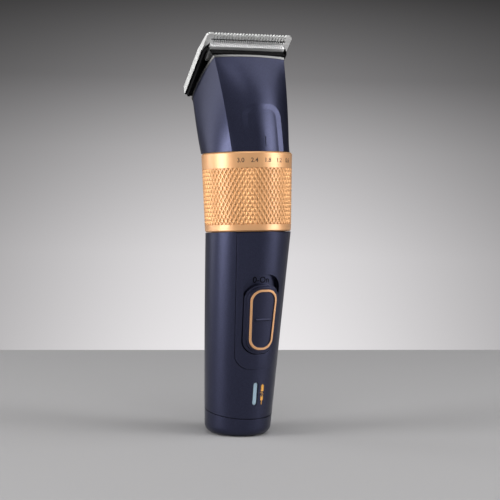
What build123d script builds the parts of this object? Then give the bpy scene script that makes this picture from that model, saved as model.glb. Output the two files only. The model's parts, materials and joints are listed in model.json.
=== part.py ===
from build123d import *
from math import cos, pi, radians, sin, sqrt
import os

# Cordless hair clipper with a turning length ring.  Millimetres, +Z up.
# The clipper stands upright on its base: the origin is the centre of the flat
# underside, -Y is the front (switch side), +Y is the back, X is the width.

# ------------------------------------------------------------------- cell ----
CELL_R = 9.0
CELL_LEN = 65.0
CELL_Z = 17.0               # the cell's lower end above the underside
CELL_Y = 0.4
CELL_HEADROOM = 9.9         # between the cell's upper end and the ring

# ---------------------------------------------------------------- handle ----
SPINE_LEAN = 0.0527         # forward lean of the handle's centre line at the base
SPINE_CURVE = 0.000166      # how fast that lean grows with height, per mm
HANDLE_R_BASE = 14.85       # outer radius at the underside, before its rounding
HANDLE_R_TOP = 19.15        # outer radius where the handle meets the ring
HANDLE_WALL = 2.2
BASE_EDGE_R = 4.2           # rounding of the underside's edge
SEAM_Z = 10.8               # height of the base cap's seam on the centre line
SEAM_TILT = 8.5             # the seam runs lower at the front, degrees
SEAM_GAP = 0.35
SPIGOT_H = 2.4              # the base cap's spigot inside the handle
SPIGOT_WALL = 1.6
FIT_GAP = 0.1               # gap between pieces that are fitted together

# ------------------------------------------------------------ front panel ----
PANEL_PROUD = 0.3
PANEL_DEPTH = 1.2
PANEL_BOTTOM_Z = 31.5
PANEL_HALF_TOP = 12.7
PANEL_HALF_LOW = 9.8
PANEL_CORNER_R = 6.5

# ------------------------------------------------------------------- ring ----
RING_Z = CELL_Z + CELL_LEN + CELL_HEADROOM      # height of the ring's lower face on its axis
RING_LEAN = 4.9             # the ring's axis leans back, degrees
RING_H = 35.5
RING_R_LOW = 19.3
RING_R_HIGH = 20.4
RING_CHAMFER = 0.6
RING_END_GAP = 0.15
LOW_BAND_H = 3.3
HIGH_BAND_H = 7.3
NECK_R = 16.6               # outer radius of the neck that the ring turns on
NECK_WALL = 1.8
RING_FIT = 0.06             # running clearance of the ring on the neck, radial
NECK_OVERLAP = 5.0          # how far the neck stands into the head
RING_TURN = 35.0            # the ring turns this far either way, degrees
RING_STEPS = 5              # settings on the ring

# ------------------------------------------------------------------ knurl ----
KNURL_COUNT = 56            # cells round the band
KNURL_ROWS = 13             # half-cell rows along the band
KNURL_DEPTH = 0.45
KNURL_WALL = 0.8

# --------------------------------------------------------- taper and detent ----
TAPER_TRAVEL = 1.2          # travel of the cutter along the blade, either way
FOLLOWER_R = 1.2
FOLLOWER_Z = 18.0           # follower height above the ring's lower face
FOLLOWER_CLEAR = 0.1
SLIDER_IN_X = 12.5
SLIDER_OUT_X = 14.1
SLIDER_HALF_Y = 2.6
DETENT_R = 1.0
DETENT_Z = 7.0              # detent height above the ring's lower face
DETENT_PROUD = 0.5
DETENT_ANGLE = 90.0         # the detent sits at the back of the neck

# ------------------------------------------------------------------- head ----
HEAD_TOP_Z = RING_Z + 80.1
HEAD_WALL = 2.0
CREASE_X_LOW = 14.2         # half-width between the creases at the ring
CREASE_X_HIGH = 17.7
CREASE_LEAN = 0.315         # backward lean of the front face
FRONT_OVER = 3.2            # the head's front lies this far outside the neck, at the ring
CREASE_BELLY = 1.1
FRONT_CROWN_LOW = 6.1
FRONT_CROWN_HIGH = 1.1
SIDE_X_LOW = 19.4
SIDE_X_HIGH = 18.2
SIDE_BULGE_LOW = 2.1
SIDE_BULGE_HIGH = 0.5
BACK_OVER = 2.4             # the head's back lies this far outside the neck, at the ring
BACK_CURVE = 0.004
BACK_CROWN = 0.7
CORNER_R_LOW = 14.0
CORNER_R_HIGH = 5.0
RIM_CLEAR = 0.5             # the mouth's rim lies this far below the blade carrier
RIM_BEND = 22.0             # the rim bends away from the carrier here, behind the tips
RIM_FRONT = 7.0             # the rim's front edge, behind the tips
RIM_FRONT_DROP = 5.5        # the rim's front edge, below the mating face
RIM_FRONT_SLOPE = 0.35
BEZEL_T = 1.1
BEZEL_LIP = 0.15
ARCH_HALF = 9.5
ARCH_TOP_Z = RING_Z + 57.7
ARCH_CORNER_R = 6.0
ARCH_RIM = 2.3              # width of the arch's sloping border
ARCH_DEPTH = 0.62           # the panel inside the arch is this deep
ARCH_EDGE = 0.5             # the border's slope is drawn on past its edges by this much
POINTER_H = 4.4
POINTER_W = 0.9

# -------------------------------------------------------------- blade set ----
BLADE_ANGLE = 40.0          # the blade leans forward of the vertical, degrees
TIP_AHEAD = 1.485           # middle of the tips line, behind the ring's centre
TIP_Z = RING_Z + 88.2
BLADE_HALF = 21.25
BLADE_LEN = 35.3
BLADE_T = 3.5
BLADE_TIP_T = 1.0
BLADE_BEVEL = 11.7
TOOTH_PITCH = 1.53
TOOTH_GAP = 0.72
TOOTH_DEPTH = 6.4
END_TOOTH = 2.9
CUTTER_HALF = BLADE_HALF - END_TOOTH + 0.25
CUTTER_PITCH = 1.04
CUTTER_GAP = 0.46
CUTTER_BACK = 3.5           # the cutter's tips lie this far behind the blade's
CUTTER_LEN = 10.5
CUTTER_T = 1.6
CUTTER_GAP_Z = 0.04
CUTTER_SWING = 0.9          # the cutter's stroke either side of the middle
CUTTER_TIP_T = 0.45
CUTTER_STEP = 1.9           # the cutter is thin this far back
CUTTER_LAND = 0.35          # solid land between the cutter's slots and its step
CUTTER_GROOVE = 0.18        # depth of the groove at the step's foot
CUTTER_RIB_DEPTH = 0.25     # the ribs on the cutter's step
HOLDER_BACK = 4.9           # the holder's front edge lies this far behind the cutter's tips
HOLDER_HALF = 12.0
HOLDER_LEN = 7.0
HOLDER_T = 1.2
BRIDGE_LEN = 3.6            # the holder's bridge between its two prongs
BRIDGE_DROP = 6.5
PRONG_T = 1.3
SPRING_T = 0.3
SPRING_HALF = 11.0
SPRING_LEG_W = 3.8
SPRING_LEN = 5.9
CARRIAGE_T = 1.2
CARRIAGE_HALF = 13.7
CARRIAGE_LEG_W = 5.5
CARRIAGE_BAR = 2.2
CARRIAGE_LIP = 0.8
LIP_HALF = CUTTER_HALF - 0.2
STACK_GAP = 0.05            # between the holder, its spring and the carriage
GUIDE_DEPTH = 6.0           # the carrier's guide walls reach this far below the mating face
GUIDE_W = 1.4
RAIL_W = 1.0                # side rails of the carrier, outside the cutter's stroke
RAIL_GAP = 0.2
RAIL_FRONT = 7.1            # the rails' pointed front ends, behind the tips
RAIL_TAPER = 1.9            # length of the rails' points
CARRIER_HALF = CUTTER_HALF + CUTTER_SWING + RAIL_GAP + RAIL_W
CARRIER_T = 1.5
DRIVE_OPENING = BLADE_LEN - 6.8     # the carrier's opening for the drive ends here, behind the tips
CARRIAGE_BACK = BLADE_LEN - 4.3     # rear end of the cutter carriage, behind the tips
SEAT_FRONT = BLADE_LEN + 0.7        # front edge of the fixed rear seat, behind the tips
SEAT_LEN = 3.4              # from the blade's rear end to the head's back
EAR_FOOT = 3.2              # length of the ears' and lugs' feet
SEAT_TOP = 0.15             # the rear seat's top, below the mating face
SEAT_PROUD = 0.4            # the rear seat stands proud of the head's back
HINGE_BACK = BLADE_LEN + 0.6        # release hinge, behind the tips
HINGE_DROP = 1.9            # release hinge, below the mating face
HINGE_PIN_R = 0.9
KNUCKLE_R = 1.7
LUG_IN_X = 2.7
LUG_OUT_X = 5.2
EAR_IN_X = 5.3
EAR_OUT_X = 7.6
BLADE_SCREW_X = 12.0
BLADE_SCREW_BACK = 25.0
BLADE_SCREW_R = 1.5
BLADE_SCREW_HEAD_R = 2.6
BLADE_SCREW_HEAD_T = 1.4

# ------------------------------------------------------------------ drive ----
MOTOR_R = 12.0
MOTOR_LEN = 31.0
MOTOR_Z = 10.0              # motor's lower face above the ring's lower face
SHAFT_R = 1.0
MOTOR_BOSS_H = 1.0
DAMPER_H = 3.5
DAMPER_BELOW = 7.5          # the damper's lower face, below the motor's upper face
CAM_R = 4.0
CAM_T = 4.0
CAM_PIN_R = 0.9
CAM_PIN_LEN = 6.5
CAM_THROW = 0.9
CAM_WEB = 0.8               # cam material above the shaft's end

# ---------------------------------------------------------------- electrics ----
BOARD_T = 1.0
BOARD_HALF = 9.2
BOARD_LOW_Z = CELL_Z - 1.8
BOARD_HIGH_Z = CELL_Z + CELL_LEN - 4.0
BOARD_GAP = 0.4             # between the cell and the board
CRADLE_WALL = 1.2
CONTACT_T = 0.3
JACK_R = 3.9
JACK_BORE_R = 2.75
JACK_PIN_R = 0.95
JACK_LEN = 10.0
JACK_Y = 5.4
JACK_BORE_LEN = 6.0
JACK_MOUTH_Z = 0.4          # the inlet's mouth lies this far above the underside

# ------------------------------------------------------------------ switch ----
SWITCH_LOW_Z = 38.6
SWITCH_LEN = 31.0
SWITCH_HIGH_Z = SWITCH_LOW_Z + SWITCH_LEN
SWITCH_HALF_LOW = 7.6
SWITCH_HALF_HIGH = 8.6
SWITCH_CORNER_R = 6.4
SWITCH_PROUD = 1.9
SWITCH_TRAVEL = 4.2
SWITCH_WELL = 2.0           # depth of the well that the button slides in
SWITCH_GAP = 0.4            # between the button and the well's sides
SWITCH_DISH = 0.2           # the button's face lies this far below its edge
TRIM_INSET = 1.9
TRIM_W = 0.95
TRIM_PROUD = 0.25
STEM_HALF_X = 3.0
STEM_HALF_Z = 4.0
LED_Z = 20.0
LED_HALF_H = 5.1
LED_HALF_W = 1.0
LED_SUNK = 0.5              # the window lies this far below the handle's surface
LED_GAP = 0.2               # between the window and its slot

BOARD_Y = CELL_Y - CELL_R - BOARD_GAP - BOARD_T     # front face of the circuit board


# ------------------------------------------------------------ small helpers ----
def block(x0, x1, y0, y1, z0, z1):
    """A box between two corners."""
    return Pos((x0 + x1) / 2, (y0 + y1) / 2, (z0 + z1) / 2) * Box(x1 - x0, y1 - y0, z1 - z0)


def rod(radius, z0, z1, x=0.0, y=0.0):
    """A cylinder along local Z."""
    return Pos(x, y, (z0 + z1) / 2) * Cylinder(radius, z1 - z0)


def tube(outer, inner, z0, z1):
    """A plain tube along local Z."""
    return rod(outer, z0, z1) - rod(inner, z0 - 1, z1 + 1)


def side_prism(points, x0, x1):
    """A closed outline in the YZ plane, extruded from x0 to x1."""
    outline = Plane.YZ * make_face(Polyline(*points, close=True))
    return Pos(x0, 0, 0) * extrude(outline, x1 - x0)


def both_sides(solid):
    """A solid and its mirror image across the middle plane."""
    return solid + mirror(solid, about=Plane.YZ)


def one_solid(shape):
    """The largest solid of a shape, which drops slivers left by a cut."""
    return max(shape.solids(), key=lambda solid: solid.volume)


# --------------------------------------------------------------- the frames ----
def spine_y(z):
    """The handle's centre line."""
    return -SPINE_LEAN * z - SPINE_CURVE * z * z


def handle_r(z):
    """The handle's outer radius at a height."""
    return HANDLE_R_BASE + (HANDLE_R_TOP - HANDLE_R_BASE) * (z / RING_Z) ** 0.93


ring_frame = Plane((0, spine_y(RING_Z), RING_Z), x_dir=(1, 0, 0),
                   z_dir=(0, sin(radians(RING_LEAN)), cos(radians(RING_LEAN))))
ring_top = ring_frame.offset(RING_H)
seam_frame = Plane((0, spine_y(SEAM_Z), SEAM_Z), x_dir=(1, 0, 0),
                   z_dir=(0, -sin(radians(SEAM_TILT)), cos(radians(SEAM_TILT))))
TIP_Y = spine_y(RING_Z) + TIP_AHEAD
# Blade frame: local +Y runs along the blade to its tips, local +Z points from the
# mating face down into the head, and the origin is the middle of the tips line.
blade_frame = Plane((0, TIP_Y, TIP_Z), x_dir=(1, 0, 0),
                    z_dir=(0, -cos(radians(BLADE_ANGLE)), -sin(radians(BLADE_ANGLE))))


def blade_point(back, drop):
    """A point behind the tips and below the mating face, in the clipper's frame."""
    return blade_frame.from_local_coords((0, -back, drop))


# ------------------------------------------------------------------- handle ----
HANDLE_LEVELS = 6


def handle_form(grow, z0, z1):
    """The handle's bowed, tapering form between two heights, grown or shrunk."""
    heights = [z0 + (z1 - z0) * i / (HANDLE_LEVELS - 1) for i in range(HANDLE_LEVELS)]
    rounds = [Pos(0, spine_y(z), z) * Circle(handle_r(z) + grow) for z in heights]
    return loft(rounds)


def panel_outline(margin):
    """The front panel's outline, as a prism through the front of the handle."""
    low = PANEL_BOTTOM_Z - margin
    high = RING_Z + 10
    half_high = PANEL_HALF_TOP + margin + (PANEL_HALF_TOP - PANEL_HALF_LOW) * 10 / (RING_Z - PANEL_BOTTOM_Z)
    half_low = PANEL_HALF_LOW + margin
    corners = [(-half_high, high), (-half_low, low), (half_low, low), (half_high, high)]
    outline = make_face(Polyline(*corners, close=True))
    outline = fillet(outline.vertices().group_by(Axis.Y)[0], PANEL_CORNER_R)
    return extrude(Plane.XZ * outline, 60)


def switch_outline(inset, rise=0.0, reach=60):
    """The power switch's tapered, round-cornered outline, as a prism to the front."""
    low = SWITCH_LOW_Z + inset
    high = SWITCH_HIGH_Z - inset + rise
    half_low = SWITCH_HALF_LOW - inset
    half_high = SWITCH_HALF_HIGH - inset
    corners = [(-half_high, high), (-half_low, low), (half_low, low), (half_high, high)]
    outline = make_face(Polyline(*corners, close=True))
    outline = fillet(outline.vertices(), min(SWITCH_CORNER_R - 0.7 * inset, half_low - 0.4))
    return extrude(Plane.XZ * outline, reach)


def switch_well():
    """The well that the button slides in, open to the front."""
    return switch_outline(-SWITCH_GAP, rise=SWITCH_TRAVEL) - handle_form(PANEL_PROUD - SWITCH_WELL, 0, RING_Z)


def led_outline(margin):
    """The charge light's slot, as a prism to the front."""
    slot = SlotOverall(2 * (LED_HALF_H + margin), 2 * (LED_HALF_W + margin), rotation=90)
    return extrude(Plane.XZ * Pos(0, LED_Z) * slot, 60)


def make_handle():
    """The handle's tube, with the panel's seat, the switch opening and the neck."""
    body = handle_form(0, 0, RING_Z + 6)
    body = split(body, bisect_by=ring_frame, keep=Keep.BOTTOM)
    body = split(body, bisect_by=seam_frame, keep=Keep.TOP)
    hollow = handle_form(-HANDLE_WALL, 0, RING_Z + 6)
    hollow = split(hollow, bisect_by=ring_frame.offset(-HANDLE_WALL), keep=Keep.BOTTOM)
    body -= hollow
    body -= panel_outline(FIT_GAP) - handle_form(-PANEL_DEPTH, 0, RING_Z + 6)
    body -= block(-STEM_HALF_X - FIT_GAP, STEM_HALF_X + FIT_GAP, -60, BOARD_Y - BOARD_T,
                  switch_middle() - STEM_HALF_Z - FIT_GAP,
                  switch_middle() + STEM_HALF_Z + SWITCH_TRAVEL + FIT_GAP)
    body -= led_outline(LED_GAP) + switch_well()
    body -= ring_frame * rod(NECK_R - NECK_WALL, -2 * HANDLE_WALL, 1)
    neck = ring_frame * tube(NECK_R, NECK_R - NECK_WALL, -HANDLE_WALL, RING_H + NECK_OVERLAP)
    slot_half = slider_travel() + FOLLOWER_R + FOLLOWER_CLEAR
    slot = block(-NECK_R - 1, NECK_R + 1, -FOLLOWER_R - FOLLOWER_CLEAR, FOLLOWER_R + FOLLOWER_CLEAR,
                 FOLLOWER_Z - slot_half, FOLLOWER_Z + slot_half)
    pocket = Rot(0, 0, DETENT_ANGLE) * Pos(NECK_R, 0, DETENT_Z) * Rot(0, 90, 0) * Cylinder(DETENT_R + 0.05, 8)
    neck -= ring_frame * (slot + pocket)
    return one_solid(body + neck)


def switch_middle():
    """The height of the switch's middle."""
    return (SWITCH_LOW_Z + SWITCH_HIGH_Z) / 2


def make_front_panel():
    """The inlaid front panel, open over the well that the button slides in."""
    skin = handle_form(PANEL_PROUD, 0, RING_Z + 6) - handle_form(-PANEL_DEPTH, 0, RING_Z + 6)
    skin = split(skin, bisect_by=ring_frame.offset(-SEAM_GAP), keep=Keep.BOTTOM)
    panel = skin & panel_outline(0)
    panel -= switch_well()
    panel -= block(-STEM_HALF_X - FIT_GAP, STEM_HALF_X + FIT_GAP, -60, 0,
                   switch_middle() - STEM_HALF_Z - FIT_GAP,
                   switch_middle() + STEM_HALF_Z + SWITCH_TRAVEL + FIT_GAP)
    return one_solid(panel)


def make_base_cap():
    """The slanted base cap with its rounded edge, spigot and charging inlet."""
    cap = handle_form(0, 0, SEAM_Z + 12)
    cap = split(cap, bisect_by=seam_frame.offset(-SEAM_GAP), keep=Keep.BOTTOM)
    underside = cap.faces().sort_by(Axis.Z)[0]
    cap = fillet(underside.edges(), BASE_EDGE_R)
    floor = 2.0
    hollow = handle_form(-HANDLE_WALL - SPIGOT_WALL, floor, SEAM_Z + 12)
    spigot = handle_form(-HANDLE_WALL - FIT_GAP, SEAM_Z - 6, SEAM_Z + 12)
    spigot = split(spigot, bisect_by=seam_frame.offset(SPIGOT_H), keep=Keep.BOTTOM)
    spigot = split(spigot, bisect_by=seam_frame.offset(-3), keep=Keep.TOP)
    cap = cap + spigot - hollow
    boss = rod(JACK_R + 1.4, floor - 0.5, floor + 2.5, y=JACK_Y)
    cap = cap + boss - rod(JACK_R + FIT_GAP, -1, floor + 3, y=JACK_Y)
    return one_solid(cap)


# --------------------------------------------------------------------- ring ----
def ring_r(height):
    """The ring's outer radius at a height above its lower face."""
    return RING_R_LOW + (RING_R_HIGH - RING_R_LOW) * height / RING_H


def slider_travel():
    """How far the taper slider rises for the cutter's travel."""
    return TAPER_TRAVEL / cos(radians(BLADE_ANGLE + RING_LEAN))


def follower_groove(radius, x_angle):
    """A helical groove in the ring's bore, which lifts one follower."""
    reach = RING_TURN + 8
    rise = 2 * slider_travel() * reach / RING_TURN
    pitch = slider_travel() * 360 / RING_TURN
    path = Helix(pitch, rise, NECK_R + RING_FIT)
    path = Pos(0, 0, -rise / 2) * Rot(0, 0, x_angle - reach) * path
    profile = Plane(path @ 0, z_dir=path % 0) * Circle(radius)
    return Pos(0, 0, FOLLOWER_Z) * sweep(profile, path=path)


def make_ring_sleeve():
    """The ring: plain bands above and below, and a seat for the knurled band."""
    low = RING_END_GAP
    high = RING_H - RING_END_GAP
    bore = NECK_R + RING_FIT
    band_low = LOW_BAND_H
    band_high = RING_H - HIGH_BAND_H
    outline = [
        (bore, low),
        (ring_r(low) - RING_CHAMFER, low),
        (ring_r(low), low + RING_CHAMFER),
        (ring_r(band_low), band_low),
        (ring_r(band_low) - KNURL_WALL, band_low),
        (ring_r(band_high) - KNURL_WALL, band_high),
        (ring_r(band_high), band_high),
        (ring_r(high), high - RING_CHAMFER),
        (ring_r(high) - RING_CHAMFER, high),
        (bore, high),
    ]
    sleeve = revolve(Plane.XZ * make_face(Polyline(*outline, close=True)), Axis.Z)
    track_half = DETENT_R + 0.2
    track = tube(bore + DETENT_PROUD + 0.1, bore - 1, DETENT_Z - track_half, DETENT_Z + track_half)
    sleeve -= track
    for step in range(RING_STEPS):
        angle = DETENT_ANGLE - RING_TURN + 2 * RING_TURN * step / (RING_STEPS - 1)
        sleeve -= Rot(0, 0, angle) * Pos(bore + DETENT_PROUD - 0.3, 0, DETENT_Z) * Sphere(DETENT_R)
    for x_angle in (0, 180):
        sleeve -= follower_groove(FOLLOWER_R + FOLLOWER_CLEAR, x_angle)
    return ring_frame * one_solid(sleeve)


def make_knurled_band():
    """The band of diamond cells, built facet by facet from a helical lattice."""
    low = LOW_BAND_H
    high = RING_H - HIGH_BAND_H
    row_h = (high - low) / KNURL_ROWS

    def point(step, row, depth):
        height = low + row * row_h
        angle = pi * step / KNURL_COUNT
        radius = ring_r(height) - depth
        return Vector(radius * cos(angle), radius * sin(angle), height)

    facets = []
    for row in range(KNURL_ROWS + 1):
        for step in range(row % 2, 2 * KNURL_COUNT, 2):
            middle = point(step + 1, row, KNURL_DEPTH)
            left = point(step, row, 0)
            right = point(step + 2, row, 0)
            if row < KNURL_ROWS:
                above = point(step + 1, row + 1, 0)
                facets.append([middle, right, above])
                facets.append([middle, above, left])
            if row > 0:
                below = point(step + 1, row - 1, 0)
                facets.append([middle, left, below])
                facets.append([middle, below, right])
    faces = [Face(Wire.make_polygon(corners, close=True)) for corners in facets]

    inner_low = ring_r(low) - KNURL_WALL
    inner_high = ring_r(high) - KNURL_WALL
    wall = Solid.make_cone(inner_low, inner_high, high - low).moved(Location((0, 0, low)))
    faces += [face for face in wall.faces() if abs(face.normal_at().Z) < 0.9]
    for row, radius in ((0, inner_low), (KNURL_ROWS, inner_high)):
        rim = []
        for step in range(row % 2, 2 * KNURL_COUNT, 2):
            rim.append(point(step, row, 0))
            rim.append(point(step + 1, row, KNURL_DEPTH))
        height = low + row * row_h
        hole = Wire.make_circle(radius, Plane((0, 0, height)))
        faces.append(Face(Wire.make_polygon(rim, close=True), [hole]))
    return ring_frame * Solid(Shell(faces))


# --------------------------------------------------------------------- head ----
def head_back(rise):
    """The Y of the head's back at a rise above the ring, so that it meets the rear seat."""
    low = ring_top.origin.Y + NECK_R + BACK_OVER
    meet = blade_point(BLADE_LEN + SEAT_LEN, 0)
    meet_rise = meet.Z - ring_top.origin.Z
    lean = (meet.Y - low) / meet_rise - BACK_CURVE * meet_rise
    return low + lean * rise + BACK_CURVE * rise * rise


def head_share(z):
    """How far up the head a height lies, from 0 at the ring to 1 at the head's top."""
    return (z - ring_top.origin.Z) / (HEAD_TOP_Z - ring_top.origin.Z)


def head_creases(z):
    """The creases beside the head's round front: their X, their Y and the front's crown."""
    s = head_share(z)
    front_r = NECK_R + FRONT_OVER
    crease_x = CREASE_X_LOW + (CREASE_X_HIGH - CREASE_X_LOW) * s
    crease_y = (ring_top.origin.Y - sqrt(front_r ** 2 - CREASE_X_LOW ** 2)
                + CREASE_LEAN * (z - ring_top.origin.Z) - CREASE_BELLY * sin(pi * s))
    return crease_x, crease_y, FRONT_CROWN_LOW + (FRONT_CROWN_HIGH - FRONT_CROWN_LOW) * s ** 3


def head_front(x, z):
    """The Y of the head's round front."""
    crease_x, crease_y, crown = head_creases(z)
    radius = (crease_x ** 2 + crown ** 2) / (2 * crown)
    return crease_y - crown + radius - sqrt(radius ** 2 - x ** 2)


def head_face(z, inset=0.0):
    """The head's section: a round front between two creases, blending to flat sides."""
    s = head_share(z)
    rise = z - ring_top.origin.Z
    soft = (1 - s) ** 2 if s < 1 else 0
    crease_x, crease_y, crown = head_creases(z)
    side_x = SIDE_X_LOW + (SIDE_X_HIGH - SIDE_X_LOW) * s - inset
    bulge = SIDE_BULGE_HIGH + (SIDE_BULGE_LOW - SIDE_BULGE_HIGH) * soft
    back_y = head_back(rise) - inset
    corner_r = CORNER_R_HIGH + (CORNER_R_LOW - CORNER_R_HIGH) * max(1 - s, 0) ** 3
    corner_r = max(corner_r - inset, 1.0)
    front_y = crease_y - crown + inset
    crease_x -= 0.9 * inset
    crease_y += 0.9 * inset
    flat_y = back_y - BACK_CROWN - corner_r
    mid = ((crease_x + side_x) / 2 + bulge * 0.85, (crease_y + flat_y) / 2 - bulge * 0.3)
    diagonal = corner_r * sin(radians(45))
    corner_mid = (side_x - corner_r + diagonal, flat_y + diagonal)
    edges = [
        Edge.make_three_point_arc((-crease_x, crease_y), (0, front_y), (crease_x, crease_y)),
        Edge.make_three_point_arc((crease_x, crease_y), mid, (side_x, flat_y)),
        Edge.make_three_point_arc((side_x, flat_y), corner_mid, (side_x - corner_r, back_y - BACK_CROWN)),
        Edge.make_three_point_arc((side_x - corner_r, back_y - BACK_CROWN), (0, back_y),
                                  (-side_x + corner_r, back_y - BACK_CROWN)),
        Edge.make_three_point_arc((-side_x + corner_r, back_y - BACK_CROWN), (-corner_mid[0], corner_mid[1]),
                                  (-side_x, flat_y)),
        Edge.make_three_point_arc((-side_x, flat_y), (-mid[0], mid[1]), (-crease_x, crease_y)),
    ]
    return Pos(0, 0, z) * Face(Wire(edges))


def head_form(inset=0.0, low=-4.0, high=8.0):
    """The head's whole form before the mouth is cut, or its hollow."""
    z0 = ring_top.origin.Z + low
    z1 = HEAD_TOP_Z + high
    levels = [z0 + (z1 - z0) * i / 6 for i in range(7)]
    return loft([head_face(z, inset) for z in levels])


def mouth_cut(drop):
    """Everything above the mouth's curved rim, in the blade's frame."""
    far_back = -BLADE_LEN - 20
    far_front = 14
    low = CARRIER_T + RIM_CLEAR + drop
    back = (-BLADE_LEN - 1, low)
    middle = (-RIM_BEND, low)
    front = (-RIM_FRONT, RIM_FRONT_DROP + drop)
    end = (far_front, RIM_FRONT_DROP + drop + (far_front + RIM_FRONT) * RIM_FRONT_SLOPE)
    rim = Line((far_back, low), back) + ThreePointArc(back, middle, front) + Line(front, end)
    far = Polyline(end, (far_front, -60), (far_back, -60), (far_back, low))
    outline = make_face((rim + far).edges())
    return blade_frame * (Pos(-40, 0, 0) * extrude(Plane.YZ * outline, 80))


def arch_outline(margin):
    """The arch on the head's front, as a prism to the front."""
    foot = ring_top.origin.Z - 12
    half = ARCH_HALF - margin
    top = ARCH_TOP_Z - margin
    outline = make_face(Polyline((-half, foot), (-half, top), (half, top), (half, foot), close=True))
    outline = fillet(outline.vertices().group_by(Axis.Y)[-1], ARCH_CORNER_R - margin)
    return extrude(Plane.XZ * outline, 60)


def arch_border():
    """What stays of the head under the arch's sloping border."""
    side = ARCH_HALF - ARCH_CORNER_R
    shoulder = ARCH_TOP_Z - ARCH_CORNER_R
    leg = shoulder - ring_top.origin.Z + 12

    def section(x0, z0, angle):
        corners = []
        inside = ARCH_RIM + ARCH_EDGE
        for margin, deep in ((-ARCH_EDGE, 0), (inside, 0), (inside, 2), (-ARCH_EDGE, 2)):
            x = x0 + (ARCH_CORNER_R - margin) * cos(angle)
            z = z0 + (ARCH_CORNER_R - margin) * sin(angle)
            corners.append((x, head_front(x, z) + margin * ARCH_DEPTH / ARCH_RIM + deep, z))
        return make_face(Polyline(*corners, close=True))

    runs = [loft([section(side * (1 - i / 2), shoulder, pi / 2) for i in range(5)])]
    for sign, turn in ((1, 0), (-1, pi)):
        runs.append(loft([section(sign * side, shoulder - leg * i / 3, turn) for i in range(4)]))
        runs.append(loft([section(sign * side, shoulder, turn + sign * pi * i / 8) for i in range(5)]))
    return runs[0] + runs[1:]


def make_head():
    """The head's moulded housing, open at the slanted mouth."""
    outer = head_form()
    floor = ring_top.offset(HEAD_WALL)
    hollow = split(head_form(HEAD_WALL), bisect_by=floor, keep=Keep.TOP)
    body = split(outer, bisect_by=ring_top, keep=Keep.TOP) - hollow
    body -= mouth_cut(BEZEL_T)
    body -= ring_frame * rod(NECK_R + FIT_GAP / 2, RING_H - 5, RING_H + NECK_OVERLAP + 1)
    body -= arch_outline(-ARCH_EDGE / 2) - head_form(ARCH_DEPTH) - arch_border()
    pointer = [(-POINTER_W / 2, 2 + POINTER_H), (POINTER_W / 2, 2 + POINTER_H), (0, 2)]
    slit = extrude(Plane.XZ * make_face(Polyline(*pointer, close=True)), 40)
    slit = ring_top * slit - head_form(0.9)
    body -= slit
    return one_solid(body)


def hinge_rod(radius, x0, x1):
    """A cylinder on the release hinge's axis, in the blade's frame."""
    return Pos((x0 + x1) / 2, -HINGE_BACK, HINGE_DROP) * Rot(0, 90, 0) * Cylinder(radius, x1 - x0)


def make_bezel():
    """The thin bright trim that lines the mouth."""
    band = head_form(-BEZEL_LIP) - head_form(HEAD_WALL)
    band = band - mouth_cut(0)
    return one_solid(band & mouth_cut(BEZEL_T - 0.001))


def make_rear_seat():
    """The fixed seat behind the blade set, with the ears of its release hinge."""
    under = CARRIER_T + RIM_CLEAR
    seat = block(-CARRIER_HALF, CARRIER_HALF, -SEAT_FRONT - 4 * SEAT_LEN, -SEAT_FRONT, SEAT_TOP, under)
    ear = hinge_rod(KNUCKLE_R, EAR_IN_X, EAR_OUT_X)
    ear += block(EAR_IN_X, EAR_OUT_X, -HINGE_BACK - EAR_FOOT, -HINGE_BACK,
                 HINGE_DROP - KNUCKLE_R / 2, HINGE_DROP + KNUCKLE_R)
    hollow = blade_frame.location.inverse() * head_form(HEAD_WALL + FIT_GAP)
    seat &= blade_frame.location.inverse() * head_form(-SEAT_PROUD)
    seat -= hinge_rod(KNUCKLE_R + FIT_GAP, -EAR_IN_X, EAR_IN_X)
    seat += both_sides(ear & hollow)
    return blade_frame * one_solid(seat - hinge_rod(HINGE_PIN_R, -EAR_OUT_X, EAR_OUT_X))


# ---------------------------------------------------------------- blade set ----
def make_fixed_blade():
    """The fixed blade: a bevelled plate with tapered teeth and solid end teeth."""
    outline = [(0, 0), (0, -BLADE_TIP_T), (-BLADE_BEVEL, -BLADE_T), (-BLADE_LEN + 1.9, -BLADE_T),
               (-BLADE_LEN, -BLADE_T / 3), (-BLADE_LEN, 0)]
    plate = side_prism(outline, -BLADE_HALF, BLADE_HALF)
    tip_corners = plate.edges().filter_by(Axis.Z).group_by(Axis.Y)[-1]
    plate = fillet(tip_corners, 1.6)
    slots = int((2 * (BLADE_HALF - END_TOOTH)) / TOOTH_PITCH) + 1
    half = TOOTH_GAP / 2
    mouth = half + 0.22
    root = half * 0.62
    notch = [(-mouth, 1), (-mouth, 0), (-half, -0.9), (-root, -TOOTH_DEPTH + 0.3), (0, -TOOTH_DEPTH),
             (root, -TOOTH_DEPTH + 0.3), (half, -0.9), (mouth, 0), (mouth, 1)]
    tool = extrude(make_face(Polyline(*notch, close=True)), BLADE_T + 2, both=True)
    first = -TOOTH_PITCH * (slots - 1) / 2
    plate -= [Pos(first + i * TOOTH_PITCH, 0, 0) * tool for i in range(slots)]
    plate -= [Pos(x, -BLADE_SCREW_BACK, -BLADE_T / 2) * Cylinder(BLADE_SCREW_R + 0.1, BLADE_T + 2)
              for x in (-BLADE_SCREW_X, BLADE_SCREW_X)]
    plate -= [Pos(x, -BLADE_SCREW_BACK, -BLADE_T) * Cylinder(BLADE_SCREW_HEAD_R + 0.1, 2 * BLADE_SCREW_HEAD_T)
              for x in (-BLADE_SCREW_X, BLADE_SCREW_X)]
    return blade_frame * one_solid(plate)


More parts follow.
